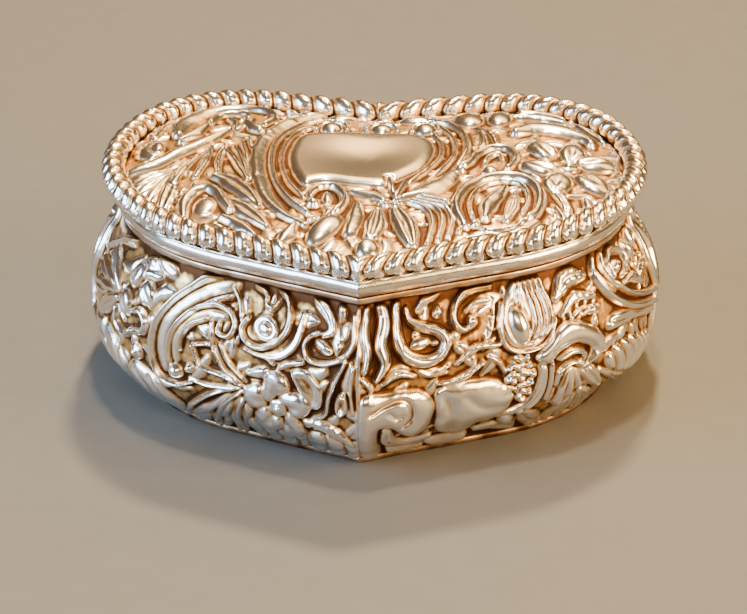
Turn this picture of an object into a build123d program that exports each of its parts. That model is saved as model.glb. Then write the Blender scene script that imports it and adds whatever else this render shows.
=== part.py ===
from build123d import *
import math
import os

# Heart-shaped embossed silver box with a hinged lid. Millimetres, +Z up, +X to the right,
# the heart's point towards -Y, the cleft and the hinge at +Y, the table at Z = 0.
# Every outline is the same heart, offset inwards (-) or outwards (+) from the rope's centre line.
# The heart is drawn with Y = 0 on the line of the shoulder arcs' centres, and the finished pieces
# are moved so that the origin lies under the middle of the whole box.

# the heart: straight front sides, a wide shoulder arc, a tighter lobe arc, a straight run to the cleft
HALF_WIDTH = 44.0
FRONT_DEPTH = 42.4
SHOULDER_RADIUS = 34.7
LOBE_RADIUS = 19.9
LOBE_TURN = 27.2          # degrees, where the shoulder arc hands over to the lobe arc
CLEFT_Y = 21.4

# heights
BASE_TOP = 1.2            # the base plate stands out as a thin lip all round
WALL_TOP = 29.8
MOUTH_TOP = 31.0
LID_BOTTOM = 31.15
COLLAR_TOP = 33.5
BAND_TOP = 34.9
ROPE_RADIUS = 2.0
ROPE_Z = BAND_TOP + ROPE_RADIUS
LID_CROWN = 39.2          # highest point of the lid's panel

# the wall's profile
SHEET = 0.8               # sheet metal thickness
BULGE = 4.7               # offset of the fullest part
BULGE_Z = 14.5
FOOT_OFFSET = -3.4
NECK_OFFSET = -1.9
FOOT_POWER = 3.0
NECK_POWER = 2.6
SECTIONS_EACH_WAY = 5     # wall sections below and above the fullest part

# the base plate and the rings, as offsets of their outer and inner faces
BASE_OUTER = -2.8
MOUTH_OUTER = -0.4
COLLAR_OUTER = -1.5
COLLAR_INNER = -2.3
BAND_OUTER = -0.2
BAND_INNER = -1.1
PANEL_SECTIONS = ((-1.1, 0.0), (-2.4, 1.3), (-6.0, 2.5), (-11.0, 3.6), (-16.0, 4.3))   # offset, rise

# the hinge at the cleft
HINGE_Y = 28.4
HINGE_Z = 31.1
BARREL_RADIUS = 1.6
PIN_RADIUS = 0.6
PIN_CLEARANCE = 0.05
HINGE_HALF_LENGTH = 12.0
LID_KNUCKLE_HALF = 3.9
KNUCKLE_GAP = 0.3
LEAF_CLEARANCE = 0.35
LEAF_THICKNESS = 1.3
LEAF_HALF_WIDTH = 11.0

shoulder_centre = Vector(HALF_WIDTH - SHOULDER_RADIUS, 0)
lobe_centre = shoulder_centre + Vector(SHOULDER_RADIUS - LOBE_RADIUS, 0).rotate(Axis.Z, LOBE_TURN)


def tangent_normal(point, centre, radius, side):
    """Direction, in degrees, of the normal of the line through point that touches the circle."""
    away = point - centre
    return math.degrees(math.atan2(away.Y, away.X) + side * math.acos(radius / away.length))


FRONT_NORMAL = tangent_normal(Vector(0, -FRONT_DEPTH), shoulder_centre, SHOULDER_RADIUS, 1)
BACK_NORMAL = tangent_normal(Vector(0, CLEFT_Y), lobe_centre, LOBE_RADIUS, -1)


def unit(degrees):
    return Vector(1, 0).rotate(Axis.Z, degrees)


def on_axis(centre, radius, normal):
    """Where the line that touches the circle at this normal crosses the heart's axis."""
    n = unit(normal)
    return Vector(0, (n.dot(centre) + radius) / n.Y)


def half_outline(offset):
    """Right half of the heart from the front point to the cleft."""
    shoulder = SHOULDER_RADIUS + offset
    lobe = LOBE_RADIUS + offset
    tip = on_axis(shoulder_centre, shoulder, FRONT_NORMAL)
    cleft = on_axis(lobe_centre, lobe, BACK_NORMAL)
    side = Line(tip, shoulder_centre + unit(FRONT_NORMAL) * shoulder)
    arc = CenterArc(shoulder_centre, shoulder, FRONT_NORMAL, LOBE_TURN - FRONT_NORMAL)
    top = CenterArc(lobe_centre, lobe, LOBE_TURN, BACK_NORMAL - LOBE_TURN)
    back = Line(lobe_centre + unit(BACK_NORMAL) * lobe, cleft)
    return side + arc + top + back


def heart_face(offset, z=0.0):
    half = half_outline(offset)
    return Pos(0, 0, z) * make_face(half + mirror(half, about=Plane.YZ))


def heart_slab(offset, low, high):
    return extrude(heart_face(offset, low), high - low, dir=(0, 0, 1))


def heart_ring(outer, inner, low, high):
    return heart_slab(outer, low, high) - heart_slab(inner, low, high)


def half_space(side):
    """Everything on one side of the plane X = 0."""
    size = 300
    return Pos(side * size / 2, 0, 0) * Box(size, size, size)


def wall_offset(z):
    """Offset of the wall's outer face at a height: fullest at BULGE_Z, drawn in at foot and neck."""
    if z < BULGE_Z:
        reach = (BULGE_Z - z) / (BULGE_Z - BASE_TOP)
        return BULGE - (BULGE - FOOT_OFFSET) * reach ** FOOT_POWER
    reach = (z - BULGE_Z) / (WALL_TOP - BULGE_Z)
    return BULGE - (BULGE - NECK_OFFSET) * reach ** NECK_POWER


def wall_body(inset):
    share = [i / SECTIONS_EACH_WAY for i in range(SECTIONS_EACH_WAY)]
    levels = [BASE_TOP + (BULGE_Z - BASE_TOP) * t for t in share]
    levels += [BULGE_Z + (WALL_TOP - BULGE_Z) * t for t in share] + [WALL_TOP]
    return loft([heart_face(wall_offset(z) - inset, z) for z in levels])


def make_wall(side):
    return (wall_body(0) - wall_body(SHEET)) & half_space(side)


def make_rope(side):
    """Half of the rope border: its round envelope, cut off square at the point and the cleft."""
    line = half_outline(0)
    overrun = 6.0
    tip, cleft = line @ 0, line @ 1
    start = Line(tip - (line % 0) * overrun, tip)
    end = Line(cleft, cleft + (line % 1) * overrun)
    path = Pos(0, 0, ROPE_Z) * (start + line + end)
    profile = Plane(path @ 0, z_dir=path % 0) * Circle(ROPE_RADIUS)
    rope = sweep(profile, path=path) & half_space(1)
    return rope if side > 0 else mirror(rope, about=Plane.YZ)


def panel_dome(drop):
    """Solid under the lid's shallow dome, lowered by drop."""
    base = LID_CROWN - PANEL_SECTIONS[-1][1]
    return loft([heart_face(offset, base + rise - drop) for offset, rise in PANEL_SECTIONS], ruled=True)


def make_lid_panel():
    low = LID_CROWN - PANEL_SECTIONS[-1][1] - SHEET
    skirt = heart_slab(PANEL_SECTIONS[0][0], low, low + SHEET)
    return panel_dome(0) + skirt - panel_dome(SHEET)


def make_lid_band():
    band = heart_ring(BAND_OUTER, BAND_INNER, LID_BOTTOM, BAND_TOP)
    return band - knuckle_clearance(-HINGE_HALF_LENGTH, HINGE_HALF_LENGTH)


def barrel(low, high, radius):
    """Cylinder along the hinge axis from X = low to X = high."""
    return Pos((low + high) / 2, HINGE_Y, HINGE_Z) * Rot(0, 90, 0) * Cylinder(radius, high - low)


def knuckle_clearance(low, high):
    return barrel(low, high, BARREL_RADIUS + LEAF_CLEARANCE)


def knuckle(low, high, bore):
    return barrel(low, high, BARREL_RADIUS) - barrel(low, high, bore)


def leaf(low, high, outline_offset):
    """Flat plate from the heart's outline in the cleft out to the hinge barrel."""
    depth = HINGE_Y - CLEFT_Y + 4.0
    plate = Pos(0, HINGE_Y - depth / 2, (low + high) / 2) * Box(2 * LEAF_HALF_WIDTH, depth, high - low)
    return plate - heart_slab(outline_offset, low - 1, high + 1) - barrel(
        -HINGE_HALF_LENGTH, HINGE_HALF_LENGTH, BARREL_RADIUS)


BODY_KNUCKLE_START = LID_KNUCKLE_HALF + KNUCKLE_GAP


def make_body_leaf():
    plate = leaf(MOUTH_TOP - LEAF_THICKNESS, MOUTH_TOP, MOUTH_OUTER)
    return plate - knuckle_clearance(-BODY_KNUCKLE_START, BODY_KNUCKLE_START)


def make_lid_leaf():
    low = MOUTH_TOP + LEAF_CLEARANCE
    plate = leaf(low, low + LEAF_THICKNESS, BAND_OUTER)
    ears = knuckle_clearance(LID_KNUCKLE_HALF, HINGE_HALF_LENGTH)
    return plate - ears - mirror(ears, about=Plane.YZ)


def make_body_knuckles():
    right = knuckle(BODY_KNUCKLE_START, HINGE_HALF_LENGTH, PIN_RADIUS)
    return Compound([right, mirror(right, about=Plane.YZ)])


nodes = {
    "wall_left": make_wall(-1),
    "wall_right": make_wall(1),
    "base_plate": heart_slab(BASE_OUTER, 0, BASE_TOP),
    "mouth_rim": heart_ring(MOUTH_OUTER, COLLAR_OUTER, WALL_TOP, MOUTH_TOP),
    "mouth_collar": heart_ring(COLLAR_OUTER, COLLAR_INNER, WALL_TOP, COLLAR_TOP),
    "body_hinge_leaf": make_body_leaf(),
    "body_knuckles": make_body_knuckles(),
    "hinge_pin": barrel(-HINGE_HALF_LENGTH - 0.3, HINGE_HALF_LENGTH + 0.3, PIN_RADIUS),
    "lid_panel": make_lid_panel(),
    "lid_band": make_lid_band(),
    "rope_left": make_rope(-1),
    "rope_right": make_rope(1),
    "lid_hinge_leaf": make_lid_leaf(),
    "lid_knuckle": knuckle(-LID_KNUCKLE_HALF, LID_KNUCKLE_HALF, PIN_RADIUS + PIN_CLEARANCE),
}

front_end = on_axis(shoulder_centre, SHOULDER_RADIUS + BULGE, FRONT_NORMAL).Y
back_end = lobe_centre.Y + LOBE_RADIUS + BULGE
to_origin = Pos(0, -(front_end + back_end) / 2, 0)

os.makedirs("parts", exist_ok=True)
for name, shape in nodes.items():
    export_step(to_origin * shape, f"parts/{name}.step")
print("hinge axis at y", round(HINGE_Y - (front_end + back_end) / 2, 3), "z", HINGE_Z)
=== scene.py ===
import bmesh
import bpy
import math
import numpy as np
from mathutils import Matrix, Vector


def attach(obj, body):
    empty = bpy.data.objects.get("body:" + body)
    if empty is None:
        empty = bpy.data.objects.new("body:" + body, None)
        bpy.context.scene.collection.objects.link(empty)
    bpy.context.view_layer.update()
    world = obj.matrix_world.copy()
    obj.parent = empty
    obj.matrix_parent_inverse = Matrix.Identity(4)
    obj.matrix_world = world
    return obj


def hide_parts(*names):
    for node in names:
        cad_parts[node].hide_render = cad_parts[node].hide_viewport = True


# Heart-shaped embossed silver box with a hinged, rope-edged lid.
# Shapes are worked out in millimetres, with y = 0 on the line of the shoulder arcs' centres,
# and moved to the shared frame, in metres, when each mesh is made.

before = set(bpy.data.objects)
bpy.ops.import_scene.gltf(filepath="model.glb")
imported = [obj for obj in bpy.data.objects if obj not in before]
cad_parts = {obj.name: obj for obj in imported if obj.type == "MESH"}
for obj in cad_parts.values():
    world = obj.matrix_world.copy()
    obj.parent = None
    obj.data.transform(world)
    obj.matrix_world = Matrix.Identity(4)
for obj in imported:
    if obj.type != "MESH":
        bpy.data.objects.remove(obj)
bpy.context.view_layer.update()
MM = 0.001
TO_ORIGIN = 8.101         # the frame's origin is under the middle of the box, this far in front of y = 0
LEAN = 0.85               # the hand-made heart's point sits this far left of its middle

# ---------------------------------------------------------------- the heart outline
SHOULDER_R, LOBE_R = 34.7, 19.9
LOBE_TURN = math.radians(27.2)
TIP_Y, CLEFT_Y = -42.4, 21.4
SHOULDER = np.array([9.3, 0.0])
LOBE = SHOULDER + (SHOULDER_R - LOBE_R) * np.array([math.cos(LOBE_TURN), math.sin(LOBE_TURN)])
REFERENCE = 3.0           # lengths along the outline are measured on this offset

# ---------------------------------------------------------------- heights, the wall's profile, the hinge
BASE_TOP, WALL_TOP = 1.2, 29.8
MOUTH_TOP, COLLAR_TOP, BAND_TOP = 31.0, 33.5, 34.9
COLLAR_OUTER, COLLAR_INNER = -1.5, -2.3
ROPE_Z, ROPE_R = 36.9, 2.02
STRAND = 3.62             # spacing of the rope's strands
BULGE, BULGE_Z = 4.7, 14.5
FOOT_DRAW, NECK_DRAW = 8.1, 6.6    # how far the wall draws in below and above its fullest part
HINGE_Y, HINGE_Z = 28.4, 31.1
KNUCKLE_R, PIN_R = 1.6, 0.6
BARREL_HALF, LID_KNUCKLE_HALF, BODY_KNUCKLE_START = 12.0, 3.9, 4.2
LEAF_HALF_WIDTH = 11.0


def unit(angle):
    return np.array([math.cos(angle), math.sin(angle)])


def tangent_normal(y, centre, radius, side):
    away = np.array([0.0, y]) - centre
    return math.atan2(away[1], away[0]) + side * math.acos(radius / math.hypot(*away))


FRONT = tangent_normal(TIP_Y, SHOULDER, SHOULDER_R, 1)
BACK = tangent_normal(CLEFT_Y, LOBE, LOBE_R, -1)


def on_axis(centre, radius, normal):
    return (unit(normal) @ centre + radius) / math.sin(normal)


def stops(d):
    """Lengths along the right half of the outline where its four runs end."""
    tip = np.array([0.0, on_axis(SHOULDER, SHOULDER_R + d, FRONT)])
    cleft = np.array([0.0, on_axis(LOBE, LOBE_R + d, BACK)])
    a = math.hypot(*(SHOULDER + unit(FRONT) * (SHOULDER_R + d) - tip))
    b = (SHOULDER_R + d) * (LOBE_TURN - FRONT)
    c = (LOBE_R + d) * (BACK - LOBE_TURN)
    e = math.hypot(*(LOBE + unit(BACK) * (LOBE_R + d) - cleft))
    return np.cumsum([0, a, b, c, e])


STOPS = stops(REFERENCE)
HALF_LENGTH = STOPS[-1]


def place(u, d):
    """x and y at length u along the right half, from the tip, on the outline offset by d."""
    u, d = np.broadcast_arrays(np.asarray(u, float), np.asarray(d, float))
    t = np.clip((u - STOPS[0]) / STOPS[1], 0, 1)
    n = unit(FRONT)
    tip = (n @ SHOULDER + SHOULDER_R + d) / n[1]
    x = t * (SHOULDER[0] + n[0] * (SHOULDER_R + d))
    y = tip + t * (SHOULDER[1] + n[1] * (SHOULDER_R + d) - tip)
    turn = FRONT + (LOBE_TURN - FRONT) * np.clip((u - STOPS[1]) / (STOPS[2] - STOPS[1]), 0, 1)
    arc = u > STOPS[1]
    x = np.where(arc, SHOULDER[0] + np.cos(turn) * (SHOULDER_R + d), x)
    y = np.where(arc, SHOULDER[1] + np.sin(turn) * (SHOULDER_R + d), y)
    turn = LOBE_TURN + (BACK - LOBE_TURN) * np.clip((u - STOPS[2]) / (STOPS[3] - STOPS[2]), 0, 1)
    arc = u > STOPS[2]
    x = np.where(arc, LOBE[0] + np.cos(turn) * (LOBE_R + d), x)
    y = np.where(arc, LOBE[1] + np.sin(turn) * (LOBE_R + d), y)
    t = np.clip((u - STOPS[3]) / (STOPS[4] - STOPS[3]), 0, 1)
    n = unit(BACK)
    cleft = (n @ LOBE + LOBE_R + d) / n[1]
    x = np.where(u > STOPS[3], (1 - t) * (LOBE[0] + n[0] * (LOBE_R + d)), x)
    y = np.where(u > STOPS[3], (1 - t) * (LOBE[1] + n[1] * (LOBE_R + d)) + t * cleft, y)
    return x, y


def offset_of(x, y):
    """Offset of the outline that passes through a point."""
    best = None
    for centre, radius, low, high in ((SHOULDER, SHOULDER_R, FRONT, LOBE_TURN),
                                      (LOBE, LOBE_R, LOBE_TURN, BACK)):
        qx, qy = np.abs(x) - centre[0], y - centre[1]
        middle = (low + high) / 2
        turn = (np.arctan2(qy, qx) - middle + math.pi) % (2 * math.pi) - math.pi
        turn = np.clip(turn, low - middle, high - middle) + middle
        value = qx * np.cos(turn) + qy * np.sin(turn) - radius
        best = value if best is None else np.maximum(best, value)
    return best


# ---------------------------------------------------------------- noise and smoothing
def noise(x, y, seed=1):
    """Smooth random values from -1 to 1 that change over a distance of about 1."""
    grid = np.random.default_rng(seed).uniform(-1, 1, (256, 256))
    i, j = np.floor(x).astype(int), np.floor(y).astype(int)
    s, t = x - i, y - j
    s, t = s * s * (3 - 2 * s), t * t * (3 - 2 * t)
    a, b = grid[i % 256, j % 256], grid[(i + 1) % 256, j % 256]
    c, d = grid[i % 256, (j + 1) % 256], grid[(i + 1) % 256, (j + 1) % 256]
    return (a * (1 - s) + b * s) * (1 - t) + (c * (1 - s) + d * s) * t


def blur(h, sigma):
    """Gaussian blur of a map, with sigma in cells."""
    n = max(int(3 * sigma), 1)
    k = np.exp(-0.5 * (np.arange(-n, n + 1) / sigma) ** 2)
    k /= k.sum()
    for axis in (0, 1):
        pad = [(n, n) if a == axis else (0, 0) for a in (0, 1)]
        p = np.pad(h, pad, mode="edge")
        h = sum(w * np.take(p, range(i, i + h.shape[axis]), axis) for i, w in enumerate(k))
    return h


def smoothstep(x, low, high):
    t = np.clip((x - low) / (high - low), 0, 1)
    return t * t * (3 - 2 * t)


def spline(points, closed=False, gap=0.35):
    """Smooth line through the points, with a place about every gap millimetres."""
    p = np.array(points, float)
    if closed:
        q = np.vstack([p[-1], p, p[0], p[1]])
    else:
        q = np.vstack([2 * p[0] - p[1], p, 2 * p[-1] - p[-2]])
    out = []
    for a, b, c, d in zip(q, q[1:], q[2:], q[3:]):
        n = max(int(math.hypot(*(c - b)) / gap), 2)
        t = np.arange(n)[:, None] / n
        out.append(0.5 * (2 * b + (c - a) * t + (2 * a - 5 * b + 4 * c - d) * t**2
                          + (3 * b - a - 3 * c + d) * t**3))
    return np.vstack(out + [p[:1] if closed else p[-1:]])


# ---------------------------------------------------------------- chased relief
FULLNESS = 0.78, 1.2      # how full the narrow and the wide strokes are drawn
CUT = 0.45                # how deep the chased line round a figure goes


class Relief:
    """Height map, in millimetres, of a flat patch. Figures are laid on it one over another."""

    def __init__(self, x0, x1, y0, y1, step):
        self.x0, self.y0, self.step = x0, y0, step
        self.x = x0 + step * np.arange(int((x1 - x0) / step) + 1)
        self.y = y0 + step * np.arange(int((y1 - y0) / step) + 1)
        self.h = np.zeros((len(self.y), len(self.x)))

    def window(self, low, high):
        """Rows and columns of the map between two corners."""
        j = np.clip(np.searchsorted(self.x, [low[0], high[0]]), 0, len(self.x))
        i = np.clip(np.searchsorted(self.y, [low[1], high[1]]), 0, len(self.y))
        return slice(i[0], i[1]), slice(j[0], j[1])

    def trace(self, line, half, margin=0.9):
        """For each place near a line of varying half width: how far outside its edge it lies, its
        distance from the line, the half width there, how far along the line it is, and on which side."""
        reach = half.max() + margin
        rows, cols = self.window(line.min(0) - reach, line.max(0) + reach)
        xs, ys = self.x[cols], self.y[rows]
        shape = (len(ys), len(xs))
        gap, dist = np.full(shape, 9.0), np.full(shape, 9.0)
        width, along, side = np.ones(shape), np.zeros(shape), np.zeros(shape)
        run = 0.0
        for k in range(len(line) - 1):
            a, b = line[k], line[k + 1]
            e = b - a
            size = math.hypot(*e) + 1e-9
            r = max(half[k], half[k + 1]) + margin
            ja, jb = np.searchsorted(xs, [min(a[0], b[0]) - r, max(a[0], b[0]) + r])
            ia, ib = np.searchsorted(ys, [min(a[1], b[1]) - r, max(a[1], b[1]) + r])
            if ja < jb and ia < ib:
                qx, qy = xs[None, ja:jb] - a[0], ys[ia:ib, None] - a[1]
                t = np.clip((qx * e[0] + qy * e[1]) / size**2, 0, 1)
                dx, dy = qx - t * e[0], qy - t * e[1]
                d = np.hypot(dx, dy)
                w = half[k] + t * (half[k + 1] - half[k])
                part = (slice(ia, ib), slice(ja, jb))
                near = d - w < gap[part]
                for store, value in ((gap, d - w), (dist, d), (width, w), (along, run + t * size),
                                     (side, np.sign(dx * e[1] - dy * e[0]))):
                    store[part] = np.where(near, value, store[part])
            run += size
        return (rows, cols), gap, dist, width, along, side

    def lay(self, part, gap, form, top, keep):
        """Lay a figure of a given form and top on the map. keep is how much of what is under it still
        shows."""
        h = self.h[part]
        over = keep * h + (top - keep * h) * form
        trench = h * (1 - CUT * np.exp(-(np.maximum(gap, 0) / 0.35) ** 2))
        self.h[part] = np.where(gap <= 0, over, trench)

    def stroke(self, points, widths, top, kind="round", keep=0.3):
        """Rib or leaf along a smooth line, with half widths spread evenly along it."""
        line = spline(points)
        far = np.append(0, np.cumsum(np.hypot(*np.diff(line, axis=0).T)))
        widths = np.atleast_1d(np.asarray(widths, float))
        if len(widths) == 1:
            widths = widths[0] * np.array([0.7, 1, 1, 1, 0.7])
        half = np.interp(far / far[-1], np.linspace(0, 1, len(widths)), widths)
        half *= np.interp(widths.max(), [0.5, 1.1], FULLNESS)
        part, gap, dist, width, along, side = self.trace(line, half)
        r = np.clip(dist / np.maximum(width, 1e-6), 0, 1)
        form = (1 - r * r) ** 0.75
        if kind == "leaf":
            vein = np.exp(-(dist / 0.2) ** 2)
            ribs = 0.5 + 0.5 * np.cos(2 * math.pi * (along / 1.5 - 0.6 * dist))
            form = form * (1 - 0.38 * vein) * (1 - 0.16 * ribs * smoothstep(r, 0.1, 0.4))
        if kind == "fold":
            form = form * (1 - 0.55 * np.exp(-(dist / (0.22 * width + 0.05)) ** 2))
        if kind == "slope":
            form = form * (0.62 + 0.38 * side * r)
        self.lay(part, gap, form, top, keep)

    def boss(self, x, y, rx, ry, turn, top, kind="dome", keep=0.3):
        """Rounded bump with half axes rx and ry, turned by turn degrees."""
        big = max(rx, ry) + 0.9
        part = self.window((x - big, y - big), (x + big, y + big))
        qx, qy = self.x[None, part[1]] - x, self.y[part[0], None] - y
        c, s = math.cos(math.radians(turn)), math.sin(math.radians(turn))
        px, py = (c * qx + s * qy) / rx, (-s * qx + c * qy) / ry
        r = np.hypot(px, py)
        gap = (r - 1) * min(rx, ry)
        r = np.minimum(r, 1)
        form = np.sqrt(1 - r * r)
        if kind == "ring":
            form = form * (1 - 0.5 * np.exp(-((r - 0.58) / 0.14) ** 2))
        if kind == "cup":
            form = np.where(r < 0.7, 0.25 + 0.75 * (r / 0.7) ** 2.5,
                            np.sqrt(np.maximum(0, 1 - (np.maximum(r - 0.7, 0) / 0.3) ** 2)))
        if kind == "pebble":
            form = form * (0.72 + 0.28 * noise(qx * 1.9 + 40, qy * 1.9 + 40, 5))
        if kind == "petal":
            form = form * (1 - 0.45 * np.exp(-(py / 0.3) ** 2) * smoothstep(1 - px, 0.2, 1.4))
        self.lay(part, gap, form, top, keep)

    def area(self, points, top, edge, keep=0.3, wave=0.0, sag=0.0):
        """Smooth raised region with a rounded border."""
        line = spline(points, closed=True)
        part, _, dist, *_ = self.trace(line, np.full(len(line), 0.01), margin=99)
        qx, qy = np.meshgrid(self.x[part[1]], self.y[part[0]])
        inside = np.zeros(qx.shape, bool)
        for (ax, ay), (bx, by) in zip(line[:-1], line[1:]):
            if ay != by:
                hit = ((ay > qy) != (by > qy)) & (qx < (bx - ax) * (qy - ay) / (by - ay) + ax)
                inside ^= hit
        t = np.clip(dist / edge, 0, 1)
        form = np.sqrt(1 - (1 - t) ** 2) * (1 - sag * smoothstep(dist, edge, 3.5 * edge))
        form = form + wave * noise(qx / 2.3, qy / 2.3, 9)
        self.lay(part, np.where(inside, -dist, dist), form, top, keep)

    def groove(self, points, width, depth):
        """Chased line cut into what is there."""
        line = spline(points)
        part, _, dist, *_ = self.trace(line, np.full(len(line), 0.01), margin=3 * width)
        self.h[part] -= depth * np.exp(-(dist / width) ** 2)

    def fan(self, apex, ends, width, top, kind="fold", bend=0.0):
        """Lobes that spread from one point."""
        for end in ends:
            a, b = np.array(apex, float), np.array(end, float)
            n = np.array([a[1] - b[1], b[0] - a[0]]) * bend
            self.stroke([a, (a + b) / 2 + n, b], [width * 0.35, width * 0.9, width, width * 0.7], top, kind)

    def frond(self, points, lobes, reach, top, width=0.55):
        """Acanthus leaf: pairs of lobes along a curved stalk."""
        line = spline(points)
        for k in range(lobes):
            t = (k + 0.6) / (lobes + 0.4)
            i = min(int(t * (len(line) - 2)), len(line) - 2)
            a = line[i]
            e = (line[i + 1] - line[i]) / (math.hypot(*(line[i + 1] - line[i])) + 1e-9)
            size = reach * (1 - 0.45 * abs(2 * t - 0.8))
            for s in (-1, 1):
                n = np.array([-e[1], e[0]]) * s
                self.stroke([a, a + size * (0.5 * n + 0.4 * e), a + size * (0.75 * n + 1.0 * e)],
                            [width * 0.5, width, width * 0.25], top, "fold", 0.5)
        self.stroke(points, [width * 0.5, width * 0.8, width * 0.35], top * 1.08, "round", 0.5)

    def ground(self, amount, seed):
        """Punched background between the figures, and the slight unevenness of hand work."""
        x, y = np.meshgrid(self.x, self.y)
        pits = noise(x / 0.42, y / 0.42, seed) + 0.6 * noise(x / 0.27, y / 0.27, seed + 1)
        low = 1 - smoothstep(self.h, 0.12, 0.45)
        chased = 0.5 * noise(x / 0.75, y / 0.75, seed + 3) + 0.35 * noise(x / 0.45, y / 0.45, seed + 4)
        self.h = self.h + amount * low * pits + 0.05 * noise(x / 2.6, y / 2.6, seed + 2) + 0.028 * chased

    def finish(self):
        """Soften the map, and work out the patina: 0 on the high parts, up to 1 in the recesses."""
        self.h = blur(self.h, 0.15 / self.step)
        wide, fine = blur(self.h, 1.1 / self.step), blur(self.h, 0.38 / self.step)
        x, y = np.meshgrid(self.x, self.y)
        deep = 0.9 * (wide - self.h) + 2.4 * (fine - self.h)
        deep += 0.62 * (0.62 - self.h)
        self.patina_and_shade = np.clip(deep + 0.09 * noise(x / 3.1, y / 3.1, 21), 0, 1)

    def sample(self, data, x, y):
        """Values of one of the maps at any places."""
        fx = np.clip((x - self.x0) / self.step, 0, len(self.x) - 1.001)
        fy = np.clip((y - self.y0) / self.step, 0, len(self.y) - 1.001)
        i, j = fy.astype(int), fx.astype(int)
        s, t = fx - j, fy - i
        return ((data[i, j] * (1 - s) + data[i, j + 1] * s) * (1 - t)
                + (data[i + 1, j] * (1 - s) + data[i + 1, j + 1] * s) * t)


def scatter(relief, seed, pitch, low, high, top):
    """Small curled leaves in the background, below every figure."""
    rng = np.random.default_rng(seed)
    for x in np.arange(low[0], high[0], pitch):
        for y in np.arange(low[1], high[1], pitch):
            px, py = x + rng.uniform(-0.3, 0.3) * pitch, y + rng.uniform(-0.3, 0.3) * pitch
            turn = rng.uniform(0, 2 * math.pi)
            e, bend = unit(turn) * pitch * 0.55, rng.uniform(-0.5, 0.5)
            n = np.array([-e[1], e[0]]) * bend
            p = np.array([px, py])
            relief.stroke([p - e, p + n, p + e], [0.4, 1.15, 0.9, 0.25], top * rng.uniform(0.7, 1.15),
                          "round" if rng.uniform() < 0.5 else "fold", 0.7)


# ---------------------------------------------------------------- meshes
def make_mesh(name, points, faces, patina_and_shade=None):
    """Mesh object from points in millimetres, with the patina and painted shade at each point for its
    material.
    """
    mesh = bpy.data.meshes.new(name)
    points = np.asarray(points, float).reshape(-1, 3).copy()
    points[:, 0] -= LEAN * smoothstep(-points[:, 1], 12, 42)
    points[:, 1] += TO_ORIGIN
    mesh.from_pydata((points * MM).tolist(), [], faces)
    solid = bmesh.new()
    solid.from_mesh(mesh)
    bmesh.ops.recalc_face_normals(solid, faces=solid.faces)
    solid.to_mesh(mesh)
    solid.free()
    if patina_and_shade is None:
        patina_and_shade = np.zeros(len(points))
    mesh.attributes.new("patina_and_shade", "FLOAT", "POINT").data.foreach_set(
        "value", np.asarray(patina_and_shade, np.float32).ravel())
    mesh.polygons.foreach_set("use_smooth", np.full(len(mesh.polygons), True))
    mesh.update()
    obj = bpy.data.objects.new(name, mesh)
    bpy.context.scene.collection.objects.link(obj)
    return obj


def grid_faces(rows, cols, first=0, flip=False, wrap_rows=False, wrap_cols=False):
    """Four-sided faces of a grid of points, numbered row by row from first."""
    i = np.arange(rows if wrap_rows else rows - 1)[:, None]
    j = np.arange(cols if wrap_cols else cols - 1)[None, :]
    a = first + i * cols + j
    b = first + i * cols + (j + 1) % cols
    c = first + ((i + 1) % rows) * cols + (j + 1) % cols
    d = first + ((i + 1) % rows) * cols + j
    order = (d, c, b, a) if flip else (a, b, c, d)
    return np.stack([np.broadcast_to(v, a.shape) for v in order], -1).reshape(-1, 4).tolist()


def closed_shell(name, outer, inner, ratio, patina_and_shade, flip):
    """Closed sheet from a fine outer grid and an inner grid with 1/ratio of its cells."""
    rows, cols = outer.shape[:2]
    m, n = inner.shape[:2]
    start = rows * cols
    faces = grid_faces(rows, cols, 0, flip) + grid_faces(m, n, start, not flip)

    def edge(fine, coarse):
        for k in range(len(coarse) - 1):
            run = fine[k * ratio:(k + 1) * ratio + 1]
            loop = run[::-1] + [coarse[k], coarse[k + 1]]
            faces.append(loop[::-1] if flip else loop)

    edge(list(range(cols)), [start + j for j in range(n)])
    edge([i * cols + cols - 1 for i in range(rows)], [start + i * n + n - 1 for i in range(m)])
    edge([(rows - 1) * cols + j for j in reversed(range(cols))],
         [start + (m - 1) * n + j for j in reversed(range(n))])
    edge([i * cols for i in reversed(range(rows))], [start + i * n for i in reversed(range(m))])
    points = np.vstack([outer.reshape(-1, 3), inner.reshape(-1, 3)])
    return make_mesh(name, points, faces, np.append(patina_and_shade.ravel(), np.full(m * n, 0.25)))


def heart_loop(count):
    """Lengths and sides for a whole turn: up the right half from the tip, down the left."""
    u = np.linspace(0, HALF_LENGTH, count // 2 + 1)
    return (np.append(u, u[-2:0:-1]), np.append(np.ones(len(u)), -np.ones(len(u) - 2)))


def heart_ring(name, profile, count, patina_and_shade, shape=None):
    """Ring with a closed profile of (offset, height) points, listed so that it encloses metal."""
    u, side = heart_loop(count)
    profile = np.array(profile, float)
    d = np.repeat(profile[None, :, 0], len(u), 0)
    z = np.repeat(profile[None, :, 1], len(u), 0)
    if shape is not None:
        d, z = shape(u[:, None], side[:, None], d, z)
    x, y = place(u[:, None], d)
    points = np.stack([x * side[:, None], y, z], -1)
    dark = patina_and_shade(u[:, None] + 0 * d, d, z)
    return make_mesh(name, points, grid_faces(len(u), len(profile), wrap_rows=True, wrap_cols=True), dark)


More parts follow.
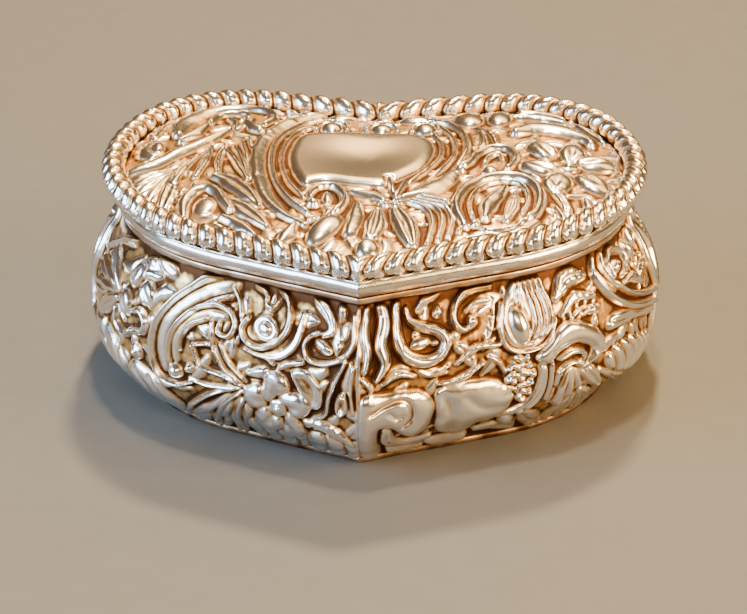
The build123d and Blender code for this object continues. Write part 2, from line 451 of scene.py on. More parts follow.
def lathe_x(name, profile, mirror=False):
    """Turned piece along the hinge axis from closed (x, radius) points."""
    profile, steps = np.array(profile, float), 64
    a = np.linspace(0, 2 * math.pi, steps, endpoint=False)[:, None]
    parts, faces = [], []
    for s in ((1, -1) if mirror else (1,)):
        x = np.repeat(profile[None, :, 0], steps, 0) * s
        r = profile[None, :, 1]
        pts = np.stack([x, HINGE_Y + r * np.cos(a), HINGE_Z + r * np.sin(a)], -1)
        faces += grid_faces(steps, len(profile), len(parts) * steps * len(profile), s < 0,
                            wrap_rows=True, wrap_cols=True)
        parts.append(pts.reshape(-1, 3))
    return make_mesh(name, np.vstack(parts), faces)


# ---------------------------------------------------------------- wall relief
def left_figures(r):
    s, b = r.stroke, r.boss
    # far side leaves and the petals round a dark eye
    r.area([(60, 14), (52, 13), (46, 9), (42, 3), (50, 3), (60, 5)], 1.0, 2.2)
    r.area([(44, 11), (38, 9), (34, 3), (38, 1.6), (43, 2.5), (47, 7)], 1.05, 2.0)
    s([(66, 12), (56, 9.5), (48, 4)], [0.5, 1.2, 0.6], 1.15, "fold")
    r.groove([(40, 9.4), (38.4, 6), (39.6, 2.4)], 0.4, 0.4)
    r.groove([(43.4, 9.6), (41.4, 6), (42, 2.6)], 0.4, 0.4)
    for x in (50, 54.6, 59.2):
        r.groove([(x, 13.4), (x - 1, 8.6), (x - 3.4, 3.4)], 0.45, 0.4)
    b(44, 26.5, 4.2, 1.7, -8, 1.0, "petal")
    b(42.3, 23.4, 2.2, 2.0, 40, 1.15, "petal")
    b(46.6, 25.0, 2.2, 1.8, 120, 1.1, "petal")
    b(47.2, 20.2, 2.4, 1.8, 60, 1.1, "petal")
    b(40, 27.9, 3.2, 1.1, 10, 1.05, "petal")
    s([(43.8, 16.4), (41.2, 17.2), (40.6, 19), (42.4, 20.4), (44.6, 19.6)], 0.75, 1.2)
    s([(49.5, 18.5), (48.8, 15.8), (46.2, 15), (44.6, 16.2)], 0.8, 1.15)
    b(44.4, 21.6, 0.8, 0.8, 0, 0.25)
    b(43.1, 12.8, 1.5, 1.4, 0, 1.2, "ring")
    r.fan((50, 20), [(58, 26), (60, 22.5), (60, 18.5), (57, 15)], 1.4, 1.1)
    s([(52, 28), (57, 27), (61, 24.5)], 0.7, 1.1)
    # fan of lobes sweeping down from the middle
    r.fan((20.2, 13), [(33.6, 2.4), (28.8, 1.8), (24.0, 1.9)], 1.75, 1.05, "fold", -0.08)
    s([(20.2, 12.9), (26, 10.6), (30.6, 7), (35.2, 2.6)], [0.3, 0.55, 0.6, 0.5], 1.25)
    s([(20.2, 12.6), (24.2, 9), (27, 4.6), (28.6, 1.8)], [0.3, 0.5, 0.55, 0.5], 1.2)
    s([(19.8, 12), (21.8, 8.2), (22.8, 4), (23, 1.8)], [0.3, 0.5, 0.55, 0.5], 1.2)
    # punched leaf with a raised edge, and its neighbour
    s([(25, 19.6), (23.2, 16.6), (20, 13.8)], [0.4, 0.55, 0.3], 1.0)
    s([(30.2, 18.2), (26.6, 18.8), (24, 15.4), (20.2, 12.9)], [0.45, 0.5, 0.5, 0.35], 1.2)
    s([(30.2, 18.2), (28.4, 14.9), (24, 14.1), (20.2, 12.9)], [0.45, 0.45, 0.5, 0.35], 1.15)
    s([(31, 12), (27, 11.6), (22, 12.4)], [0.3, 0.5, 0.3], 0.9)
    # ribbons between the scrolls
    s([(10.2, 26.5), (11.4, 22.4), (14, 19.9), (17.6, 19.2), (20.5, 19.6)],
      [0.5, 0.8, 0.8, 0.4], 0.95, "fold")
    s([(10, 19.4), (12.9, 18.5), (15, 16.6)], [0.5, 0.7, 0.3], 1.0, "leaf")
    # big double C-scroll: broad bands first, then the ribs that edge them
    s([(24, 28.4), (29.6, 27.2), (33.8, 24.4), (36.4, 20.4), (36.9, 16.4), (36.2, 12.6)],
      [1.0, 1.5, 1.7, 1.7, 1.6, 1.1], 0.42)
    s([(25, 24), (29, 23.4), (32, 21.4), (33.8, 18.2), (33.6, 14.6)], [0.9, 1.3, 1.4, 1.2, 0.7], 0.5)
    s([(21.8, 26.4), (20.4, 21.9), (17, 20.9), (14, 22.6), (12.6, 26.2)], [0.8, 1.3, 1.3, 1.3, 0.8], 0.42)
    s([(26.5, 28.9), (31, 27.7), (34.8, 25), (37.4, 21.5), (38.5, 17.4), (38.3, 13.4), (36.4, 10.7),
       (33.4, 10.3), (30.6, 11.4)], [0.55, 0.6, 0.62, 0.62, 0.6, 0.45], 1.4)
    s([(24.6, 26.6), (28.6, 25.2), (32, 22.9), (34.3, 19.7), (35, 16), (34.6, 13.6)],
      [0.5, 0.55, 0.55, 0.45], 1.3)
    s([(28, 23), (30.8, 21.6), (32.5, 19), (32.8, 16.6)], [0.5, 0.5, 0.35], 1.2)
    s([(30.4, 24.3), (26.8, 25.2), (23.9, 24.5), (22.7, 22.8), (23.7, 21), (25.6, 21.1), (25.6, 22.7)],
      [0.4, 0.5, 0.5, 0.42], 1.3)
    s([(24.4, 27.6), (22.6, 26), (21.6, 23.2), (22, 20.2)], [0.4, 0.45, 0.3], 1.0)
    s([(27.2, 22.6), (26.6, 20.6), (26.6, 18.8)], [0.35, 0.45, 0.3], 1.1)
    b(33.4, 12.7, 1.5, 1.3, 20, 1.35)
    b(30.8, 13.8, 1.0, 0.8, -30, 1.0)
    # middle scroll with a domed eye
    s([(20.6, 24.4), (21.3, 22.6), (20.2, 20.9), (17.8, 20.4), (15.3, 21.5), (13.3, 23.6), (12.9, 26),
       (13.9, 27.9), (16, 28.8)], [0.5, 0.62, 0.65, 0.6, 0.6, 0.45], 1.4)
    b(17.1, 23.4, 2.5, 1.9, 15, 1.05, "ring")
    s([(20.4, 28.6), (18, 27.9), (17.7, 26.7), (16.3, 26.3), (15.3, 27.4)], [0.45, 0.5, 0.45, 0.3], 1.2)
    # scroll at the front edge
    s([(7.2, 24.5), (8.9, 23.6), (9.7, 22), (8.8, 20.3), (6, 20.1), (2.7, 21.6), (0.9, 24), (0.8, 27.4)],
      [0.45, 0.6, 0.6, 0.6, 0.6, 0.5], 1.35)
    b(6.3, 22.6, 1.9, 1.0, 25, 0.75)
    s([(8.4, 28.6), (5.9, 27.2), (4.9, 25.2), (6.4, 24.3)], [0.6, 0.9, 0.7, 0.4], 1.2, "fold")
    b(3.2, 27.6, 0.9, 1.1, 0, 1.1)
    # long rib, hollow leaf and the oval by the edge
    s([(2.2, 21.2), (3.8, 18), (5.1, 14.6), (5.8, 11.4), (8.2, 9.8)], [0.4, 0.55, 0.55, 0.45], 1.25)
    r.area([(12, 17.4), (9.4, 18.4), (6.6, 16), (6.4, 12.6), (8.6, 11.6), (10.4, 14)], 0.85, 0.6, sag=0.75)
    b(3.0, 13.6, 1.1, 2.2, 8, 1.15, "cup")
    s([(0.9, 20.5), (1.4, 17), (0.9, 12.5)], [0.3, 0.5, 0.3], 1.0)
    # broad leaves along the foot near the edge
    r.area([(9.6, 6.8), (14.4, 7.4), (20.2, 6.4), (20.8, 1.3), (9.8, 1.3)], 0.9, 1.4, wave=0.08)
    for x, foot in ((12.6, 12.0), (15.4, 15.4), (18.0, 18.4)):
        r.groove([(x, 7.4), ((x + foot) / 2 + 0.3, 4.4), (foot, 1.2)], 0.34, 0.55)
    r.area([(0.2, 6.4), (3.4, 5.6), (6.6, 6.6), (9.2, 5.8), (9.4, 1.3), (0.2, 1.3)], 1.0, 1.5, wave=0.06)
    for x, foot in ((3.2, 2.6), (6.2, 6.4)):
        r.groove([(x, 6.6), ((x + foot) / 2 - 0.3, 4), (foot, 1.2)], 0.34, 0.5)
    s([(9.6, 9), (6.4, 8.8), (3.4, 7.4), (1.2, 5.4)], [0.5, 1.1, 1.0, 0.4], 1.2, "leaf")
    # flower with a ringed boss
    s([(19.4, 15.6), (16.8, 16.2), (14.2, 15.4)], [0.5, 1.1, 0.5], 1.1, "leaf")
    for turn in range(18, 360, 72):
        e = unit(math.radians(turn)) * 3.1
        b(14.5 + e[0], 10.3 + 1.15 * e[1], 3.3, 2.6, turn, 1.35, "petal", 0.5)
    b(14.3, 10.5, 1.6, 1.6, 0, 1.4, "ring", 0.4)


def right_figures(r):
    s, b = r.stroke, r.boss
    # rough foliage behind
    r.frond([(36, 20), (40, 22.5), (45, 22)], 5, 2.2, 0.85)
    r.frond([(20, 19.4), (23, 22), (24.6, 26.4)], 4, 1.6, 0.55, 0.4)
    r.frond([(57, 20), (60, 23), (64, 23)], 4, 2.4, 0.95)
    # lower big leaf bands at the far side
    r.area([(46, 13), (52, 13.5), (62, 10), (70, 7), (70, 3), (60, 3.5), (51, 6), (46, 9.5)], 1.1, 2.4)
    for x in np.arange(46.6, 68, 2.7):
        r.groove([(x, 13.6), (x + 1.5, 9.6), (x + 0.2, 4.4)], 0.45, 0.7)
    s([(44, 10.5), (50, 6.5), (58, 3.4), (68, 2.6)], [0.5, 0.9, 0.9, 0.5], 1.1, "fold")
    r.area([(46, 17), (54, 16), (66, 12), (66, 15), (56, 18), (48, 19.5)], 1.0, 1.6)
    r.groove([(47, 18.4), (55, 17), (65, 13.6)], 0.35, 0.35)
    # double curve and its volute
    s([(46.9, 28.9), (45.7, 26), (47.3, 23), (50, 20.6), (54, 18.5), (61, 16), (68, 13)],
      [0.5, 0.7, 0.75, 0.75, 0.6], 1.35)
    s([(49.3, 28.9), (48.8, 25.8), (51, 22.8), (54.6, 20.3), (61, 17.8), (68, 15.5)],
      [0.45, 0.6, 0.65, 0.6, 0.5], 1.3)
    s([(50.4, 24.6), (50.2, 26.6), (52.6, 27.7), (55.6, 26.8), (55.4, 24.9), (53, 24)],
      [0.5, 0.7, 0.7, 0.5], 1.3)
    b(52.6, 25.6, 1.5, 0.9, 10, 1.1)
    s([(53, 22.9), (56, 22.6), (59, 20.5)], [0.4, 0.9, 0.4], 1.1, "leaf")
    b(62, 27, 1.3, 1.6, 0, 1.15)
    b(59, 26.2, 1.1, 1.5, 20, 1.1)
    # lobes under the arch
    r.fan((38.6, 14.2), [(35.6, 7), (38, 6), (41, 6.4), (44, 8)], 1.35, 1.15)
    r.fan((40, 8), [(36, 1.8), (40, 1.8), (44.5, 2.2)], 1.7, 0.9)
    s([(34.4, 11), (35.2, 13.4), (37.6, 14.3), (40.2, 13), (43.2, 13.6)], [0.4, 0.6, 0.6, 0.4], 1.25)
    # pebbled oval, and the curved leaf that edges it
    s([(33.8, 15.8), (33.5, 12), (32.9, 8.4)], [0.4, 0.7, 0.4], 0.9)
    b(27.9, 13.6, 3.0, 4.8, 0, 0.8, "pebble")
    rng = np.random.default_rng(5)
    for k in range(26):
        turn, far = 2.4 * k, math.sqrt((k + 0.5) / 26)
        b(27.9 + 2.6 * far * math.cos(turn), 13.6 + 4.3 * far * math.sin(turn), rng.uniform(0.5, 0.85),
          rng.uniform(0.45, 0.7), rng.uniform(0, 180), rng.uniform(1.0, 1.35), "dome", 0.75)
    s([(31.6, 17.4), (32, 13.4), (30.9, 9.6), (28.2, 7.4), (24.6, 6.6)], [0.5, 0.8, 1.1, 1.0, 0.5], 1.15,
      "fold")
    # domed leaf scroll
    r.area([(30.6, 16.8), (33.4, 20), (37.2, 21.6), (41.4, 20), (44.6, 16.6), (43.4, 13.6), (40.6, 13.2),
            (41.4, 15.6), (38.6, 17.4), (35, 16.8), (33, 15.2)], 1.4, 1.5)
    s([(35, 15.6), (37.6, 16.2), (40, 15.2), (39.6, 14)], [0.5, 0.8, 0.6, 0.3], 1.15)
    r.groove([(33.6, 17.4), (37.6, 18.3), (41, 17), (42.6, 14.8)], 0.25, 0.35)
    # leaf under the rim
    s([(35.8, 25.2), (39.4, 27.2), (44, 26.8)], [0.5, 1.2, 1.1, 0.4], 1.2, "leaf")
    s([(36.4, 22.6), (40, 24.6), (44.4, 23.6)], [0.4, 0.9, 0.4], 0.95, "leaf")
    b(42.8, 21.8, 1.0, 0.7, 30, 0.95)
    # ribbed shell with a dome
    r.area([(28.6, 28.6), (25.6, 25.6), (25, 22.6), (26.6, 19.6), (29.4, 18.6), (32.4, 19.5), (34.4, 22.4),
            (35, 25.8), (33.4, 28.6)], 0.95, 0.9, sag=0.3)
    for k in range(4):
        x = 31 + 1.05 * k
        s([(x - 0.6, 28.4), (x + 0.1, 25), (x - 0.2, 22), (x - 1.5, 20 + 0.1 * k)],
          [0.3, 0.42, 0.42, 0.3], 1.3)
    b(28.3, 22.6, 1.75, 3.2, 14, 1.45)
    s([(29.6, 28.8), (28.7, 25.8)], [0.3, 0.5], 1.25)
    s([(25.8, 26.4), (24.8, 23), (26, 19.4), (29.4, 18.3), (32.8, 19.2), (35, 22.4)],
      [0.3, 0.42, 0.45, 0.42, 0.35], 1.25)
    # C-scroll with a ball
    s([(24.4, 28.5), (20.4, 28.4), (17.7, 27), (17.1, 25), (18.3, 23.5), (19.8, 23.7)],
      [0.5, 0.6, 0.65, 0.6, 0.5], 1.4)
    b(20.2, 24.4, 1.0, 0.95, 0, 1.45)
    s([(23.8, 26.9), (21, 26.9), (19.4, 26)], [0.25, 0.35, 0.25], 0.8)
    # J-scroll
    s([(6.9, 28.9), (6.7, 26), (7.2, 23.2), (8.9, 20.8), (11.8, 19.7), (14.3, 20.4), (15.4, 22.3),
       (14.2, 23.9), (11.8, 24.8), (9.4, 25.9), (8.6, 27.4)], [0.7, 0.95, 1.0, 1.0, 0.9, 0.7, 0.45], 1.45)
    b(10.8, 22.6, 2.0, 1.0, 8, 0.6)
    s([(10.6, 27.2), (12.2, 28.2), (15, 28.6)], [0.4, 0.7, 0.3], 1.1, "fold")
    b(14.4, 26.6, 1.0, 0.8, 30, 0.9)
    # wavy leaves beside the front edge
    s([(3.6, 28.9), (4.6, 26.4), (3.9, 23.4), (4.7, 20.6), (3.2, 18)], [0.7, 1.15, 1.1, 0.9, 0.4], 1.25)
    s([(1.6, 28.8), (1.1, 25.5), (1.7, 22.5), (1.1, 19.6)], [0.5, 0.85, 0.8, 0.5], 1.1)
    s([(0.8, 18.6), (2.2, 16.6), (1.8, 14.8)], [0.4, 0.6, 0.3], 1.0)
    # small leaves at mid height
    s([(13.8, 15.4), (17, 15.4), (21.6, 17.6)], [0.35, 0.75, 0.35], 1.25, "leaf")
    s([(17, 18.2), (20.2, 20.4), (24.6, 20.2)], [0.35, 0.75, 0.35], 1.1, "leaf")
    s([(4.2, 17), (7, 18.3), (9.8, 17.4)], [0.35, 0.65, 0.3], 1.15, "leaf")
    s([(10.6, 18.2), (12.6, 17.2), (15.6, 18.2)], [0.3, 0.55, 0.3], 1.0, "fold")
    s([(22.6, 18.6), (24.2, 17.4), (25.4, 15.2)], [0.3, 0.5, 0.3], 1.0)
    # curled leaves along the foot, below the great petals
    s([(4.9, 8.4), (5.2, 5.4), (7.2, 3.4), (10, 3), (12.6, 4.4)], [0.8, 1.2, 1.3, 1.2, 0.6], 1.0, "fold")
    s([(5.4, 2.2), (8.4, 1.9), (11.8, 2)], [0.6, 0.8, 0.5], 0.85)
    s([(12.6, 2.6), (15.6, 2.1), (19.8, 2.2)], [0.5, 1.0, 0.5], 0.95)
    s([(28.6, 6.6), (31, 4.2), (34.4, 1.8)], [0.7, 1.5, 1.0], 0.95, "fold")
    s([(21.4, 3.4), (24.6, 3.6), (29, 2.4)], [0.5, 1.1, 0.6], 0.9, "fold")
    b(26.4, 5.2, 1.6, 1.3, -30, 1.1)
    # second great petal, folded downwards
    r.area([(13.4, 14.2), (18, 15.2), (23.8, 14.2), (26.8, 11.4), (26.2, 8.2), (23.2, 6), (20.8, 5.8),
            (19, 4), (16.2, 3.9), (13.9, 5.4), (13.2, 9.4)], 1.2, 3.4, wave=0.16, sag=0.35)
    r.groove([(14.6, 13.2), (15.8, 10.4), (16.4, 6.4)], 0.9, 0.4)
    r.groove([(18.6, 12.6), (21.4, 10), (25.4, 9.4)], 0.8, 0.2)
    # first great petal, one with the smooth leaf that covers the front edge
    r.area([(0.2, 14.6), (5, 15.4), (10.2, 15), (13, 12.6), (13, 9.6), (12, 7), (10.2, 5.8), (8.4, 6),
            (6.8, 7.4), (5.2, 8.8), (3.7, 8.6), (3.4, 5.6), (3.9, 1.5), (0.2, 1.5)], 1.25, 2.6, wave=0.08,
           sag=0.15)
    r.groove([(2.2, 12.4), (4.6, 13.6), (7.4, 14), (9, 12.8), (9.2, 10.4), (7.8, 9.2)], 0.32, 0.6)
    r.groove([(5.4, 12.2), (6.6, 11), (7.6, 11.2)], 0.3, 0.45)


def wall_relief(figures, seed):
    """The figures are seen on the front half; the hidden back half repeats them mirrored."""
    front = Relief(-1, HALF_LENGTH / 2 + 4, 0, 30.5, 0.12)
    scatter(front, seed, 5.4, (1, 3), (HALF_LENGTH / 2 + 3, 29), 0.5)
    figures(front)
    s = front.stroke
    s([(68, 27.6), (65.6, 22), (67.4, 16), (65.4, 9), (68, 2)], [0.7, 1.0, 1.0, 0.8], 1.2, "fold")
    front.ground(0.04, seed)
    relief = Relief(0, HALF_LENGTH, 0, 30.5, 0.12)
    x = np.minimum(relief.x, HALF_LENGTH - relief.x)
    xx, yy = np.meshgrid(x, relief.y)
    relief.h = front.sample(front.h, xx, yy * 0.97)
    yy, xx = np.meshgrid(relief.y, relief.x, indexing="ij")
    calm = smoothstep(xx, -0.3, 0.9) * smoothstep(HALF_LENGTH - xx, -0.3, 0.9)
    relief.h = 0.55 + (relief.h - 0.55) * calm
    relief.h *= smoothstep(yy, 1.1, 1.8) * (1 - smoothstep(yy, 28.9, 29.7))
    relief.finish()
    # Painted shade: darker at the neck under the lid band, and near the foot.
    relief.patina_and_shade = np.clip(relief.patina_and_shade + 0.8 * smoothstep(yy, 28.2, 29.6)
                            + 0.45 * (1 - smoothstep(yy, 1.2, 3.2)), 0, 1)
    return relief


def wall_offset(z):
    """Offset of the wall's face at a height."""
    low = BULGE - FOOT_DRAW * (np.clip(BULGE_Z - z, 0, None) / (BULGE_Z - BASE_TOP)) ** 3
    high = BULGE - NECK_DRAW * (np.clip(z - BULGE_Z, 0, None) / (WALL_TOP - BULGE_Z)) ** 2.6
    return np.where(z < BULGE_Z, low, high)


def make_wall(name, side, figures, seed):
    """Half of the side wall as an embossed sheet: fine outside, coarser and worn smoother inside."""
    relief = wall_relief(figures, seed)
    ratio, rows = 4, 40
    dense = 76            # as far as this along the half outline the cells are smaller
    u = np.append(np.linspace(0, dense, 91)[:-1], np.linspace(dense, HALF_LENGTH, 43))
    fine_u = np.interp(np.arange(ratio * (len(u) - 1) + 1) / ratio, np.arange(len(u)), u)
    zz = np.linspace(BASE_TOP, WALL_TOP, 2000)
    far = np.append(0, np.cumsum(np.hypot(np.diff(zz), np.diff(wall_offset(zz)))))
    z = np.interp(np.linspace(0, far[-1], rows + 1), far, zz)
    fine_z = np.interp(np.linspace(0, far[-1], rows * ratio + 1), far, zz)

    def surface(u, z, sink, share):
        """Points of one face, sunk below the smooth wall and raised by a share of the relief."""
        uu, zz = np.meshgrid(u, z)
        slope = (wall_offset(zz + 0.05) - wall_offset(zz - 0.05)) / 0.1
        nz, nd = -slope / np.hypot(1, slope), 1 / np.hypot(1, slope)
        edges = smoothstep(zz, BASE_TOP, 3.2) * (1 - smoothstep(zz, 27.6, WALL_TOP))
        lift = share * relief.sample(relief.h, uu, zz) - sink * (0.25 + 0.75 * edges)
        free = smoothstep(zz, BASE_TOP, 2.2) * (1 - smoothstep(zz, 28.8, WALL_TOP))
        x, y = place(uu, wall_offset(zz) + lift * (nd * free + 1 - free))
        return np.stack([x * side, y, zz + lift * nz * free], -1), uu, zz

    outer, uu, zz = surface(fine_u, fine_z, sink=1.4, share=1.25)
    inner, _, _ = surface(u, z, sink=2.15, share=0.6)
    patina_and_shade = relief.sample(relief.patina_and_shade, uu, zz)
    return closed_shell(name, outer, inner, ratio, patina_and_shade, side < 0)


# ---------------------------------------------------------------- lid relief
def lid_figures(r):
    s, b = r.stroke, r.boss
    # left: broad crescent with its inner curl and leaves
    r.frond([(-39, -9), (-34, -15), (-30, -21)], 4, 3.0, 0.7, 1.1)
    r.frond([(-38, 8), (-37, 13), (-34, 18)], 3, 2.4, 0.65, 1.0)
    r.frond([(-27, -27), (-21, -31), (-13, -34)], 4, 2.8, 0.75, 1.1)
    s([(-33.8, 8), (-34, 13), (-31.6, 18.2), (-27, 21.4), (-22.2, 21.6), (-18.8, 19.2), (-17.8, 15.5),
       (-19.4, 12)], [1.0, 2.0, 2.2, 1.7, 1.2, 0.9, 0.7, 0.4], 1.0)
    s([(-28.6, 12.6), (-27.8, 16.2), (-25, 18), (-22.4, 17), (-22.2, 14.6)], [0.5, 0.9, 0.95, 0.6, 0.4], 0.95)
    s([(-25.6, 15.4), (-23.6, 12.6), (-24, 9.4)], [0.5, 1.4, 0.5], 0.9, "fold")
    b(-30.2, 10.6, 1.6, 1.3, 0, 0.2)
    s([(-22.4, 12.6), (-20, 9.6), (-18.4, 8.4)], [0.6, 1.5, 0.6], 0.95)
    s([(-15.6, 22), (-14.2, 18.5), (-15.2, 15)], [0.6, 1.4, 0.6], 0.75)
    b(-11.4, 19.4, 2.8, 1.5, -12, 0.8)
    b(-6, 18.4, 2.8, 1.6, 6, 0.8)
    # bud and branch
    b(-38.2, 2.6, 2.7, 3.9, 10, 0.9)
    b(-36.9, 2.8, 1.2, 2.0, 10, 1.1, "dome", 0.7)
    r.fan((-32.6, -7), [(-40.6, -9), (-40.6, -12.6), (-39.4, -16), (-37, -19), (-34, -21)], 1.35, 0.75)
    s([(-41.4, -6.6), (-37, -4.2), (-33.2, -0.4), (-28.6, 4.2), (-25.4, 8.4)],
      [0.9, 1.6, 1.5, 1.2, 0.7], 1.05)
    s([(-33.2, 4.6), (-31.2, 7.6), (-29, 11.4)], [0.5, 1.3, 0.5], 1.0)
    # narrow leaves
    s([(-33, -12), (-31.8, -6.6), (-29.6, -1.6)], [0.5, 1.0, 0.4], 0.95, "fold")
    s([(-29.4, -10.4), (-28.4, -4.6), (-27.8, 2)], [0.5, 0.9, 0.4], 1.0, "fold")
    s([(-25.6, -9), (-26, -4), (-25.4, 3)], [0.4, 0.8, 0.4], 0.9)
    # acanthus beside the ribs
    for k in range(4):
        s([(-25 + 1.15 * k, 0.2 + 1.8 * k), (-23 + 1.0 * k, -4.8 + 0.8 * k),
           (-20.6 + 0.5 * k, -11.6 + 0.6 * k)], [0.4, 0.7, 0.45], 1.0, "round")
    s([(-26, -10.4), (-23.4, -12.6), (-20, -17.4), (-18, -21.4)], [0.8, 1.9, 1.6, 0.6], 1.0, "fold")
    s([(-23.6, -19.6), (-20.4, -22.4), (-16, -28)], [0.7, 1.8, 1.5, 0.6], 0.95, "fold")
    # thick curl with a smooth dome
    b(-26.8, -20.6, 2.2, 3.0, -10, 0.75)
    s([(-30, -24.4), (-30.4, -20), (-29.4, -16.4), (-27.2, -14.9), (-25.2, -16.6), (-23.8, -20),
       (-22.4, -23)], [0.8, 1.15, 1.15, 1.1, 0.9, 0.5], 1.1)
    s([(-23.6, -25), (-20.6, -27.2), (-17.6, -31)], [0.6, 1.3, 0.6], 1.0)
    # three ribs left of the cartouche, their lower volute and bud
    s([(-9.4, 19), (-14, 15), (-17.6, 9), (-19.2, 1), (-18.7, -9), (-17, -17.6), (-13.6, -24), (-9.6, -27.8)],
      [0.7, 1.2, 1.45, 1.45, 1.35, 1.1, 0.7], 1.05, "slope")
    s([(-9.4, 15.6), (-13.4, 11.6), (-16.6, 5), (-17.2, -3), (-16, -12), (-13.2, -19.6), (-9.4, -25)],
      [0.45, 0.6, 0.65, 0.65, 0.6, 0.45], 1.15)
    s([(-10.4, 11.6), (-13.6, 8), (-15.4, 1), (-15.2, -6), (-13.6, -13), (-10.6, -19.4)],
      [0.4, 0.5, 0.55, 0.5, 0.4], 1.05)
    s([(-11.4, -28), (-12.4, -31), (-13.6, -34)], [0.6, 1.4, 0.7], 0.85)
    # ribs right of the cartouche
    s([(8.4, 16), (12.8, 12.6), (15.2, 7), (15.4, 0), (13.4, -7), (10.6, -12.6), (7.8, -17.4)],
      [0.5, 0.65, 0.75, 0.75, 0.7, 0.5], 1.15)
    s([(7.8, 14.4), (11.4, 10.8), (13.3, 5.6), (13.4, -0.6), (11.4, -7), (8.4, -12.6), (6.2, -16.4)],
      [0.4, 0.5, 0.55, 0.55, 0.45], 1.1)
    s([(9, 9.8), (11, 5), (11.2, -1), (9.2, -6.6), (6.4, -12), (5, -15.4)], [0.35, 0.45, 0.5, 0.35], 1.05)
    s([(17.6, 11), (18.4, 6), (17.4, 0.6), (14.6, -4.6)], [0.4, 0.75, 0.5], 0.85, "fold")
    s([(16.8, 12.8), (19.6, 9.6), (20.6, 5)], [0.4, 0.8, 0.4], 0.75, "leaf")
    # leaf tips, beads and petals below the cartouche
    s([(5.4, -18), (9.4, -14.8), (12.6, -10), (14, -6.6)], [0.8, 2.1, 1.8, 0.7], 0.85)
    s([(-1.8, -21), (-1.8, -26), (-2.2, -31)], [0.7, 1.5, 1.1], 0.85)
    s([(1.8, -23.4), (1.8, -28), (1.4, -32)], [0.8, 1.7, 1.2], 0.95, "fold")
    s([(4.6, -23), (6.4, -27.6), (8, -33.6)], [1.0, 1.9, 1.7, 0.9], 1.05, "fold")
    b(1.0, -35.6, 2.0, 2.6, 0, 1.1)
    for k in range(6):
        turn = math.radians(60 * k)
        b(3.6 + 1.5 * math.cos(turn), -20.6 + 1.3 * math.sin(turn), 0.75, 0.7, 0, 1.05, "dome", 0.6)
    for k in range(4):
        s([(6.2 + 0.7 * k, -20 + 0.7 * k), (9.6 + 1.5 * k, -22.8 + 0.6 * k),
           (10.9 + 1.5 * k, -27.4 + 0.8 * k), (10.4 + 1.6 * k, -33.4 + 1.4 * k)],
          [0.4, 0.62, 0.68, 0.5], 1.0)
    # small C-scroll at the right
    s([(14.2, -6.2), (16, -3.6), (17.2, 0), (19.6, 2.6), (22.2, 2.6), (23.6, 0), (23.4, -3.6), (22.4, -6)],
      [0.6, 0.9, 0.95, 0.85, 0.6], 1.1)
    s([(18.6, -4), (19.2, -1.2), (21, 0.2), (21.8, -2.4)], [0.35, 0.6, 0.5, 0.3], 0.95)
    b(14.6, -6.8, 1.05, 1.05, 0, 1.15)
    b(19.6, -6.2, 1.4, 1.6, 20, 0.8)
    # big oval scroll
    s([(26.6, -8.4), (30, -13), (32.4, -19), (31.6, -24)], [0.5, 1.0, 0.8, 0.4], 1.0, "fold")
    s([(27.6, -23.6), (24.6, -27.4), (20, -28.6), (16.6, -30.6)], [0.5, 0.9, 0.9, 0.5], 0.95, "fold")
    s([(16.2, -27.4), (14.7, -23.6), (14.4, -19), (15.8, -13.8), (18.8, -10.2), (22.8, -8.9), (26.3, -10.8),
       (27.9, -15.4), (27.4, -21.4), (25.2, -24.6)], [0.7, 0.95, 1.0, 1.05, 1.0, 0.7], 1.15)
    s([(17.2, -24.2), (16.4, -19.4), (17.6, -14.8), (20.2, -11.8), (23.2, -11.3), (25.4, -13.6), (26, -18),
       (25, -22)], [0.4, 0.5, 0.55, 0.5, 0.4], 1.05)
    s([(19.2, -24.6), (19.8, -19.4), (22.2, -13.6)], [0.6, 1.4, 1.3, 0.5], 1.1)
    s([(22.6, -24.2), (23.4, -20), (23.8, -15.4)], [0.5, 1.1, 0.5], 0.95, "fold")
    s([(18, -27), (20.6, -28), (24, -26.6), (25.4, -24)], [0.35, 0.5, 0.5, 0.35], 1.05)
    b(17.6, -26.6, 1.1, 0.9, 30, 1.1)
    # berries, long smooth leaf and the flower
    b(15.7, 17.4, 2.9, 4.2, 4, 1.1)
    b(21.0, 17.6, 2.4, 4.0, -6, 1.1)
    s([(23.8, 9.6), (26.6, 12.4), (31, 12.6), (35.4, 9.4), (36.6, 6.8)], [1.0, 2.2, 2.4, 1.6, 0.6], 1.1)
    s([(24.2, 17.6), (28, 18.2), (32, 16.4)], [0.6, 1.2, 0.6], 0.9)
    s([(24.6, 21.8), (28.4, 21.4), (32, 18.8)], [0.6, 1.3, 0.6], 0.85)
    s([(34.4, 15.8), (37, 12.8), (38.6, 9)], [0.6, 1.3, 0.6], 0.85)
    for x, y, rx, ry, turn in ((28.4, 2.8, 3.7, 2.6, 120), (33.4, 2.2, 3.8, 2.4, 85),
                               (37.6, -1.2, 3.8, 2.8, 15), (28.0, -5.0, 4.0, 2.7, 160),
                               (30.8, -10.2, 4.0, 2.6, 75), (36.6, -8.8, 4.2, 2.8, -55)):
        b(x, y, rx, ry, turn, 1.15, "petal", 0.5)
    b(32.8, -4.2, 1.8, 1.6, 0, 1.1, "ring", 0.5)
    s([(35.4, -15), (36.2, -18.6), (34.2, -22)], [0.6, 1.4, 0.6], 0.85)
    r.frond([(30.6, -19), (32, -23), (30, -28)], 3, 2.0, 0.75, 0.9)
    r.ground(0.035, 12)
